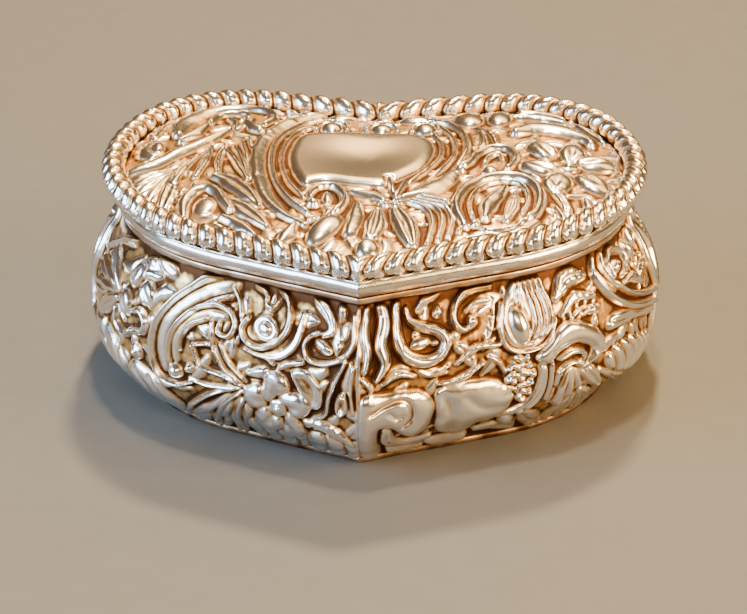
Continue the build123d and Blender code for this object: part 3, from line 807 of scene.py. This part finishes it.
    # cartouche, its bosses and the domes above
    r.area([(-14.3, 2), (-13.2, 6.6), (-9.6, 8.4), (-2, 9.0), (6.4, 8.2), (9.8, 5), (10.1, -0.6),
            (8.3, -6), (4.6, -11), (2, -14), (-3.4, -13.4), (-7.6, -12.4), (-11.2, -13.6), (-13.4, -9),
            (-14.5, -3)], 1.0, 2.2, keep=0.0)
    x, y = np.meshgrid(r.x, r.y)
    r.h -= 0.6 * np.exp(-((x + 2.2) / 7.0) ** 2 - ((y + 2.0) / 6.5) ** 2)
    for x, w in ((-7.7, 2.7), (0.9, 2.6), (8.3, 2.4)):
        s([(x - w, 9.8), (x - w * 0.8, 13.2), (x, 14.6), (x + w * 0.8, 13.2), (x + w, 9.8)], 0.5, 1.1)
        b(x, 10.9, 2.1, 2.5, 0, 1.2)
        r.groove([(x - 2.4, 11.4), (x - 1.4, 13.4), (x + 1.4, 13.4), (x + 2.4, 11.4)], 0.28, 0.45)
    b(6.6, 17.2, 3.2, 1.9, 8, 0.95)
    b(1.0, 17.4, 1.9, 1.7, -20, 0.85)
    b(-2.6, 20.2, 1.6, 1.1, 0, 0.75)
    s([(-9, -27), (-6, -25.6), (-4.3, -22), (-4.2, -18), (-6, -14.6), (-8.7, -15), (-9.8, -18),
       (-9.2, -20.6)], [0.6, 0.8, 0.85, 0.8, 0.6], 1.15)
    b(-9.0, -21.4, 1.2, 1.1, 0, 1.2)
    b(-6.9, -18.6, 1.0, 2.4, 6, 0.85)
    b(-6.3, -29.4, 2.5, 4.8, -24, 1.25)
    r.fan((4.2, -18.6), [(2.9, -11), (5.5, -12.6)], 0.7, 1.1, "round")
    s([(-3, -16.6), (0.4, -17.6), (2.4, -19.8)], [0.6, 1.3, 0.5], 0.9)


def make_lid_panel(name):
    """Domed, embossed sheet, as square cells inside the outline: fine on top, coarser underneath."""
    relief = Relief(-45, 45, -44, 30, 0.135)
    scatter(relief, 31, 5.2, (-43, -40), (43, 28), 0.42)
    lid_figures(relief)
    xx, yy = np.meshgrid(relief.x, relief.y)
    edge = offset_of(xx, yy)
    relief.h *= 1 - smoothstep(edge, -2.3, -1.2)
    relief.finish()
    # Painted shade: darker along the panel's edge, under the rope.
    relief.patina_and_shade = np.clip(relief.patina_and_shade + 0.4 * smoothstep(edge, -2.6, -1.5), 0, 1)
    rise = np.interp(-edge, [0.9, 1.6, 2.3, 4.0, 7.0, 11.0, 16.0], [0.9, 1.9, 2.35, 2.85, 3.4, 3.95, 4.3])
    dome = blur(rise, 0.5 / relief.step)
    step, ratio = 0.24, 2
    xs = np.arange(-44.16, 44.2, step * ratio)
    ys = np.arange(-42.7, 28, step * ratio)
    inside = offset_of(*np.meshgrid(xs, ys)) < -0.3
    cells = inside[:-1, :-1] & inside[1:, :-1] & inside[:-1, 1:] & inside[1:, 1:]
    fx = xs[0] + step * np.arange((len(xs) - 1) * ratio + 1)
    fy = ys[0] + step * np.arange((len(ys) - 1) * ratio + 1)
    gx, gy = np.meshgrid(fx, fy)
    top = BAND_TOP - 1.15 + relief.sample(dome, gx, gy) + 1.3 * relief.sample(relief.h, gx, gy)
    under = BAND_TOP - 1.85 + relief.sample(dome, gx, gy) + 0.5 * relief.sample(relief.h, gx, gy)
    fine = np.kron(cells, np.ones((ratio, ratio), bool))
    wide = len(fx)
    i, j = np.nonzero(fine)
    quads = np.stack([i * wide + j, i * wide + j + 1, (i + 1) * wide + j + 1, (i + 1) * wide + j], -1)
    i, j = np.nonzero(cells)
    i, j, size = i * ratio, j * ratio, gx.size
    low = np.stack([(i + ratio) * wide + j, (i + ratio) * wide + j + ratio, i * wide + j + ratio,
                    i * wide + j], -1) + size
    faces = quads.tolist() + low.tolist()
    padded = np.pad(cells, 1)
    for i, j in zip(*np.nonzero(cells)):
        a, b = i * ratio, j * ratio
        corner = [(a, b), (a, b + ratio), (a + ratio, b + ratio), (a + ratio, b)]
        for k, (di, dj) in enumerate(((-1, 0), (0, 1), (1, 0), (0, -1))):
            if not padded[i + 1 + di, j + 1 + dj]:
                p, q = corner[k], corner[(k + 1) % 4]
                middle = ((p[0] + q[0]) // 2, (p[1] + q[1]) // 2)
                p, middle, q = (v[0] * wide + v[1] for v in (p, middle, q))
                faces.append([q, middle, p, p + size, q + size])
    points = np.vstack([np.stack([gx, gy, top], -1).reshape(-1, 3),
                        np.stack([gx, gy, under], -1).reshape(-1, 3)])
    patina_and_shade = np.append(relief.sample(relief.patina_and_shade, gx, gy).ravel(), np.full(size, 0.25))
    used = np.unique(np.concatenate([np.asarray(f) for f in faces]))
    new = np.full(len(points), -1)
    new[used] = np.arange(len(used))
    return make_mesh(name, points[used], [new[f].tolist() for f in faces], patina_and_shade[used])


# ---------------------------------------------------------------- rope border
def make_rope(name, side, lean):
    """Strands lie across the border, leaning towards the point, and end in a bulb at the outside."""
    count, around = 760, 72
    u = np.linspace(0, HALF_LENGTH, count)[:, None]
    a = np.linspace(0, 2 * math.pi, around, endpoint=False)[None, :]
    pitch = HALF_LENGTH / round(HALF_LENGTH / STRAND)
    turn = (a + math.pi) % (2 * math.pi) - math.pi
    place_along = (u + lean * 2.0 * np.cos(a)) / pitch + 0.35
    number, phase = np.floor(place_along), place_along % 1.0
    outside = smoothstep(np.cos(turn + 0.3), -0.5, 0.9)
    low = smoothstep(0.5 - turn, 0.0, 0.7) * smoothstep(turn + 1.9, 0.0, 0.6)
    main = np.sqrt(np.maximum(0, 1 - ((phase - 0.57) / 0.40) ** 2)) ** 1.25
    second = 0.80 * np.sqrt(np.maximum(0, 1 - ((phase - 0.19) / 0.19) ** 2))
    bead = np.maximum(main, second * (0.55 + 0.45 * low))
    bulb = np.exp(-((turn + 0.35) / 0.5) ** 2)
    waist = np.exp(-((turn - 0.55) / 0.35) ** 2)
    depth = 0.30 + 0.24 * outside
    uneven = 0.09 * noise(number * 3.7, number * 0 + 2.5, 3 + side)
    r = ROPE_R * (1 - depth * (1 - bead)) + (0.16 * bulb - 0.10 * waist) * bead
    r = r + uneven * bead + 0.045 * noise(u * 1.5, a * 3, 8) + 0.02 * noise(u * 4, a * 7, 18)
    x, y = place(u + 0 * a, r * np.cos(a))
    points = np.stack([x * side, y, ROPE_Z + r * np.sin(a)], -1).reshape(-1, 3)
    faces = grid_faces(count, around, 0, side > 0, wrap_cols=True)
    first, last = list(range(around)), [(count - 1) * around + k for k in range(around)]
    faces += [first if side > 0 else first[::-1], last[::-1] if side > 0 else last]
    # Patina in the gaps between the strands; painted shade on the underside of the rope and on its inner
    # side, against the panel.
    dark = 1.0 - 1.5 * bead + 0.45 * smoothstep(-np.sin(a), 0.6, 0.95) + 0.2 * (1 - outside)
    return make_mesh(name, points, faces, np.clip(dark, 0, 1))


# ---------------------------------------------------------------- plain rings and base
def band_shape(u, side, d, z):
    """Small dents in the band, and the edge under the rope pushed out by each strand."""
    ledge = smoothstep(z, 34.4, 34.6) * smoothstep(d, -0.3, 0.9)
    scallop = 0.5 + 0.5 * np.sin(2 * math.pi * u / STRAND + 0.6)
    dent = 0.07 * noise(u / 7 + 20 * side, z / 2, 14) + 0.025 * noise(u / 1.6 + 9 * side, z, 15)
    outer = smoothstep(d, -1.0, -0.6)
    return d + ledge * 0.16 * scallop + dent * outer, z + 0.03 * noise(u / 5 + 3 * side, z * 0, 16)


def band_dark(u, d, z):
    """Dark line along the seam; painted shade under the ledge, over the lower half of the band and inside."""
    low = np.exp(-((z - 31.3) / 0.25) ** 2) + 0.6 * np.exp(-((z - 34.35) / 0.14) ** 2) * (d < 0)
    low += 0.35 * (1 - smoothstep(z, 31.6, 33.4))
    return np.clip(0.7 * low + 0.1 + 0.12 * noise(u / 2.5, z * 1.5, 17) + 0.5 * (d < -1.0), 0, 1)


def make_band(name):
    outer = [(-0.95, 31.15), (-0.74, 31.2), (-0.6, 31.34), (-0.6, 31.5), (-0.42, 31.75), (-0.24, 32.1),
             (-0.12, 32.5), (-0.05, 32.9), (-0.08, 33.2), (-0.2, 33.5), (-0.4, 33.8), (-0.66, 34.08),
             (-0.72, 34.3), (-0.3, 34.42), (0.1, 34.48), (0.5, 34.54), (0.78, 34.6), (0.88, 34.72),
             (0.8, 34.84), (0.6, 34.9), (-0.8, 34.92), (-1.1, 34.8), (-1.1, 33.6), (-1.1, 32.4),
             (-1.08, 31.3)]
    return heart_ring(name, outer, 1100, band_dark, band_shape)


# Painted shade: the mouth rim, under the band, is darker all over and darkest where it meets the wall.
def ring_dark(u, d, z):
    return np.clip(0.4 + 0.2 * noise(u / 2, z * 2, 18) + 0.5 * np.exp(-((z - 29.85) / 0.25) ** 2), 0, 1)


def make_mouth_rim(name):
    profile = [(COLLAR_OUTER, WALL_TOP), (-1.34, 29.76), (-1.2, WALL_TOP), (-1.1, 29.95), (-1.05, 30.2),
               (-1.05, 30.6), (-1.1, 30.85), (-1.2, 30.98), (-1.34, MOUTH_TOP), (COLLAR_OUTER, MOUTH_TOP),
               (COLLAR_OUTER, 30.4)]
    return heart_ring(name, profile, 700, ring_dark)


# Painted shade: the collar is darker low down, where it stands inside the rim.
def collar_dark(u, d, z):
    return np.clip(0.25 + 0.3 * noise(u / 3, z, 19) + 0.5 * (1 - smoothstep(z, 30.8, 32)), 0, 1)


def make_collar(name):
    profile = [(COLLAR_OUTER, WALL_TOP), (COLLAR_OUTER, 31.2), (COLLAR_OUTER, 32.4), (-1.55, 33.2),
               (-1.7, 33.42), (-1.9, COLLAR_TOP), (-2.1, 33.42), (-2.25, 33.2), (COLLAR_INNER, 32.4),
               (COLLAR_INNER, 31.2), (COLLAR_INNER, WALL_TOP), (-1.9, 29.75)]
    return heart_ring(name, profile, 640, collar_dark)


def make_base(name):
    """Plate with a rounded lip; its top is the box's floor. The rows of points run from the lip
    towards one place in the middle, on the top and on the bottom."""
    middle_y, floor_z = -6.0, 1.19
    u, side = heart_loop(640)
    rim = [(-3.9, 0.0), (-3.7, 0.03), (-3.56, 0.16), (-3.48, 0.4), (-3.5, 0.72), (-3.6, 0.98), (-3.78, 1.13),
           (-4.0, 1.19)]
    rows = []
    for d, z in rim:
        x, y = place(u, d + 0.05 * noise(u / 4 + 30 * side, u * 0 + z, 11))
        rows.append(np.stack([x * side, y, u * 0 + z], -1))
    x, y = place(u, -4.0)
    for t in np.linspace(0.03, 0.97, 26):
        px, py = x * side * (1 - t), y * (1 - t) + middle_y * t
        rows.append(np.stack([px, py, floor_z + 0.05 * noise(px / 3 + 50, py / 3 + 50, 12)], -1))
    x, y = place(u, -3.9)
    bottom = [np.stack([x * side * (1 - t), y * (1 - t) + middle_y * t, u * 0], -1)
              for t in np.linspace(0.97, 0.05, 12)]
    n, count = len(u), len(rows) + len(bottom)
    points = np.vstack(rows + bottom + [[[0, middle_y, floor_z]], [[0, middle_y, 0.0]]])
    faces = grid_faces(count, n, 0, True, wrap_cols=True)
    faces = [f for f in faces if not {f[0] // n, f[2] // n} == {len(rows) - 1, len(rows)}]
    faces += [[(count - 1) * n + k, (count - 1) * n + (k + 1) % n, (k + 1) % n, k] for k in range(n)]
    centre = count * n
    a, b = (len(rows) - 1) * n, len(rows) * n
    faces += [[a + k, a + (k + 1) % n, centre] for k in range(n)]
    faces += [[b + (k + 1) % n, b + k, centre + 1] for k in range(n)]
    dark = np.full(len(points), 0.22)
    dark += 0.15 * noise(points[:, 0] / 2 + 60, points[:, 1] / 2 + 60, 13)
    # Painted shade: the lip, where the box shades the floor, is darker.
    dark[: len(rim) * n] += 0.45
    return make_mesh(name, points, faces, np.clip(dark, 0, 1))


# ---------------------------------------------------------------- hinge
def make_knuckle(name, low, high, bore, mirror=False):
    """Tube with rounded ends and a turned line near each."""
    e, radius = 0.18, KNUCKLE_R
    outer = [(low, radius - e), (low + 0.35 * e, radius - 0.35 * e), (low + e, radius), (low + 0.75, radius),
             (low + 0.9, radius - 0.16), (low + 1.05, radius), ((low + high) / 2, radius),
             (high - 1.05, radius), (high - 0.9, radius - 0.16), (high - 0.75, radius), (high - e, radius),
             (high - 0.35 * e, radius - 0.35 * e), (high, radius - e)]
    inner = [(high, bore + 0.08), (high - 0.1, bore), ((low + high) / 2, bore), (low + 0.1, bore),
             (low, bore + 0.08)]
    return lathe_x(name, outer + inner, mirror)


def make_pin(name):
    """Wire with a rounded head just outside each end of the barrel."""
    half = [(12.3, 0.001), (12.28, 0.3), (12.2, 0.5), (12.05, PIN_R), (6, PIN_R)]
    return lathe_x(name, [(-x, r) for x, r in half] + [(0, PIN_R)] + half[::-1])


def make_leaf(name, low, high, d, notch):
    """Plate from the outline in the cleft to the barrel, with rounded edges and two rivets.
    notch tells where, along x, it stops short of the barrel."""
    xs = np.linspace(-LEAF_HALF_WIDTH, LEAF_HALF_WIDTH, 177)
    u = np.linspace(STOPS[2], HALF_LENGTH, 4000)
    ox, oy = place(u, d)
    front = np.interp(np.abs(xs), ox[::-1], oy[::-1]) + 0.02
    clear, sunk = 1.98, 1.45          # distance of its back edge from the hinge axis
    reach = np.where(notch(np.abs(xs)), clear, sunk)
    mid = (low + high) / 2
    lift = np.clip(np.abs(HINGE_Z - mid), 0, 1.4)
    back = HINGE_Y - np.sqrt(np.maximum(reach**2 - lift**2, 0.01))
    t = np.linspace(0, 1, 15)
    edge = 0.16
    y = front[:, None] + (back - front)[:, None] * t[None, :]
    x = np.repeat(xs[:, None], len(t), 1)
    bow = 1 - np.clip(np.minimum(y - front[:, None], back[:, None] - y) / edge, 0, 1)
    bow = np.maximum(bow, 1 - np.clip((LEAF_HALF_WIDTH - np.abs(x)) / edge, 0, 1))
    z_top = high - edge * bow**2 + 0.02 * noise(x, y, 23)
    rivet_y, rivet_r, rivet_height = 24.9, 0.8, 0.28
    for rivet_x in (-7.4, 7.4):
        r = np.hypot(x - rivet_x, y - rivet_y) / rivet_r
        z_top = np.maximum(z_top, high + rivet_height * np.sqrt(np.maximum(0, 1 - r * r)))
    z_low = low + edge * bow**2
    rows, cols = x.shape
    size = rows * cols
    pts = np.vstack([np.stack([x, y, z_top], -1).reshape(-1, 3), np.stack([x, y, z_low], -1).reshape(-1, 3)])
    faces = grid_faces(rows, cols, 0, True) + grid_faces(rows, cols, size, False)
    rim = (list(range(cols)) + [i * cols + cols - 1 for i in range(1, rows)]
           + [(rows - 1) * cols + k for k in range(cols - 2, -1, -1)]
           + [i * cols for i in range(rows - 2, 0, -1)])
    for a, b in zip(rim, rim[1:] + rim[:1]):
        faces.append([a, b, b + size, a + size])
    return make_mesh(name, pts, faces, np.append(np.clip(0.3 + 0.4 * bow, 0, 1).ravel(), np.full(size, 0.4)))


# ---------------------------------------------------------------- materials
# Colour of the patina in the recesses, also used for the painted shade.
PATINA_AND_SHADE_BROWN = (0.075, 0.030, 0.013)


def silver(name, light, mid, rough):
    """Polished silver that darkens and dulls with the patina in its recesses, and with the painted shade
    carried in the same attribute.
    """
    material = bpy.data.materials.new(name)
    material.use_nodes = True
    tree = material.node_tree
    link = tree.links.new
    shader = tree.nodes["Principled BSDF"]
    where = tree.nodes.new("ShaderNodeTexCoord")

    def grain(scale, detail):
        node = tree.nodes.new("ShaderNodeTexNoise")
        node.inputs["Scale"].default_value = scale
        node.inputs["Detail"].default_value = detail
        link(where.outputs["Object"], node.inputs["Vector"])
        return node.outputs["Fac"]

    def multiply_add(value, factor, added):
        node = tree.nodes.new("ShaderNodeMath")
        node.operation = "MULTIPLY_ADD"
        link(value, node.inputs[0])
        node.inputs[1].default_value = factor
        if isinstance(added, float):
            node.inputs[2].default_value = added
        else:
            link(added, node.inputs[2])
        return node.outputs[0]

    patina_and_shade = tree.nodes.new("ShaderNodeAttribute")
    patina_and_shade.attribute_name = "patina_and_shade"
    fine = grain(2600.0, 4.0)
    patina_and_shade_level = multiply_add(patina_and_shade.outputs["Fac"], 1.0, multiply_add(grain(420.0, 5.0), 0.36, -0.18))
    ramp = tree.nodes.new("ShaderNodeValToRGB")
    ramp.color_ramp.elements[0].position = 0.13
    ramp.color_ramp.elements[0].color = (*light, 1)
    ramp.color_ramp.elements[1].position = 0.8
    ramp.color_ramp.elements[1].color = (*PATINA_AND_SHADE_BROWN, 1)
    ramp.color_ramp.elements.new(0.45).color = (*mid, 1)
    link(patina_and_shade_level, ramp.inputs["Fac"])
    link(ramp.outputs["Color"], shader.inputs["Base Color"])
    dull = tree.nodes.new("ShaderNodeMapRange")
    for socket, value in (("From Min", 0.1), ("From Max", 0.9), ("To Min", rough), ("To Max", rough + 0.34)):
        dull.inputs[socket].default_value = value
    link(patina_and_shade_level, dull.inputs["Value"])
    link(multiply_add(fine, 0.06, dull.outputs["Result"]), shader.inputs["Roughness"])
    bump = tree.nodes.new("ShaderNodeBump")
    bump.inputs["Strength"].default_value = 0.06
    bump.inputs["Distance"].default_value = 0.00004
    link(fine, bump.inputs["Height"])
    link(bump.outputs["Normal"], shader.inputs["Normal"])
    shader.inputs["Metallic"].default_value = 1.0
    return material


looks = {
    "embossed_silver": silver("embossed silver", (0.95, 0.92, 0.88), (0.80, 0.46, 0.16), 0.19),
    "rope_silver": silver("rope silver", (0.96, 0.92, 0.86), (0.70, 0.43, 0.18), 0.18),
    "plain_silver": silver("plain silver", (0.93, 0.90, 0.85), (0.62, 0.40, 0.24), 0.16),
    "collar_silver": silver("collar silver", (0.88, 0.82, 0.72), (0.56, 0.40, 0.26), 0.22),
    "hinge_silver": silver("hinge silver", (0.86, 0.80, 0.71), (0.50, 0.36, 0.24), 0.24),
}


def settle(obj, body, slot, *replaced):
    obj.data.materials.append(looks[slot])
    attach(obj, body)
    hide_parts(*replaced)
    return obj


# ---------------------------------------------------------------- the box
settle(make_wall("wall_left_chased", -1, left_figures, 41), "box", "embossed_silver", "wall_left")
settle(make_wall("wall_right_chased", 1, right_figures, 52), "box", "embossed_silver", "wall_right")
settle(make_base("base_plate_lipped"), "box", "plain_silver", "base_plate")
settle(make_mouth_rim("mouth_rim_rounded"), "box", "plain_silver", "mouth_rim")
settle(make_collar("mouth_collar_rounded"), "box", "collar_silver", "mouth_collar")
settle(make_leaf("body_hinge_leaf_plate", 29.7, MOUTH_TOP, -0.4, lambda x: x < BODY_KNUCKLE_START), "box",
       "hinge_silver", "body_hinge_leaf")
settle(make_knuckle("body_knuckles_turned", BODY_KNUCKLE_START, BARREL_HALF, PIN_R, mirror=True), "box",
       "hinge_silver", "body_knuckles")
settle(make_pin("hinge_pin_headed"), "box", "hinge_silver", "hinge_pin")

# ---------------------------------------------------------------- the lid
settle(make_lid_panel("lid_panel_chased"), "lid", "embossed_silver", "lid_panel")
settle(make_band("lid_band_scalloped"), "lid", "plain_silver", "lid_band")
settle(make_rope("rope_left_twisted", -1, 0.42), "lid", "rope_silver", "rope_left")
settle(make_rope("rope_right_twisted", 1, 0.75), "lid", "rope_silver", "rope_right")
settle(make_leaf("lid_hinge_leaf_plate", 31.35, 32.65, -0.2, lambda x: x > LID_KNUCKLE_HALF), "lid",
       "hinge_silver", "lid_hinge_leaf")
settle(make_knuckle("lid_knuckle_turned", -LID_KNUCKLE_HALF, LID_KNUCKLE_HALF, PIN_R + 0.05), "lid",
       "hinge_silver", "lid_knuckle")

# ---------------------------------------------------------------- floor, light, camera
floor_mesh = bpy.data.meshes.new("floor")
floor_mesh.from_pydata([(-3, -3, 0), (3, -3, 0), (3, 3, 0), (-3, 3, 0)], [], [(0, 1, 2, 3)])
floor = bpy.data.objects.new("floor", floor_mesh)
bpy.context.scene.collection.objects.link(floor)
paper = bpy.data.materials.new("pale table")
paper.use_nodes = True
tree = paper.node_tree
grain = tree.nodes.new("ShaderNodeTexNoise")
grain.inputs["Scale"].default_value = 180.0
grain.inputs["Detail"].default_value = 6.0
spot = tree.nodes.new("ShaderNodeTexCoord")
tint = tree.nodes.new("ShaderNodeValToRGB")
tint.color_ramp.elements[0].color = (0.098, 0.091, 0.081, 1)
tint.color_ramp.elements[1].color = (0.115, 0.108, 0.097, 1)
tree.links.new(spot.outputs["Object"], grain.inputs["Vector"])
tree.links.new(grain.outputs["Fac"], tint.inputs["Fac"])
tree.links.new(tint.outputs["Color"], tree.nodes["Principled BSDF"].inputs["Base Color"])
tree.nodes["Principled BSDF"].inputs["Roughness"].default_value = 0.7
floor_mesh.materials.append(paper)


BOX_MIDDLE = Vector((0, 0, 0.02))


def softbox(name, at, size, power, colour):
    """Soft lamp that faces the box."""
    data = bpy.data.lights.new(name, "AREA")
    data.shape = "RECTANGLE"
    data.size, data.size_y = size
    data.energy = power
    data.color = colour
    lamp = bpy.data.objects.new(name, data)
    lamp.location = at
    lamp.rotation_euler = (BOX_MIDDLE - Vector(at)).to_track_quat("-Z", "Y").to_euler()
    bpy.context.scene.collection.objects.link(lamp)


softbox("overhead", (0.01, 0.05, 0.80), (0.07, 0.07), 6.0, (1.0, 0.81, 0.54))
softbox("back spot", (0.05, 0.44, 0.78), (0.07, 0.07), 14.0, (1.0, 0.79, 0.46))
softbox("back high", (0.24, 0.52, 0.62), (0.90, 0.34), 4.5, (1.0, 0.52, 0.15))
softbox("front", (0.10, -0.62, 0.50), (0.30, 0.16), 3.0, (1.0, 0.80, 0.55))
softbox("right", (0.62, -0.24, 0.32), (0.40, 0.34), 13.0, (1.0, 0.64, 0.27))
softbox("left", (-0.60, -0.26, 0.30), (0.50, 0.40), 12.5, (0.50, 0.72, 1.0))

world = bpy.data.worlds.new("room")
world.use_nodes = True
world.node_tree.nodes["Background"].inputs["Color"].default_value = (0.30, 0.15, 0.05, 1)
world.node_tree.nodes["Background"].inputs["Strength"].default_value = 0.42
bpy.context.scene.world = world

camera = bpy.data.cameras.new("camera")
camera.lens = 168.04
camera.sensor_width = 36.0
eye = bpy.data.objects.new("camera", camera)
target = Vector((-0.000152, TO_ORIGIN * MM, 0.009806))
distance, azimuth, elevation = 0.6, 0.039, 0.449
eye.location = target + distance * Vector((math.sin(azimuth) * math.cos(elevation),
                                           -math.cos(azimuth) * math.cos(elevation), math.sin(elevation)))
eye.rotation_euler = (target - eye.location).to_track_quat("-Z", "Y").to_euler()
bpy.context.scene.collection.objects.link(eye)
bpy.context.scene.camera = eye
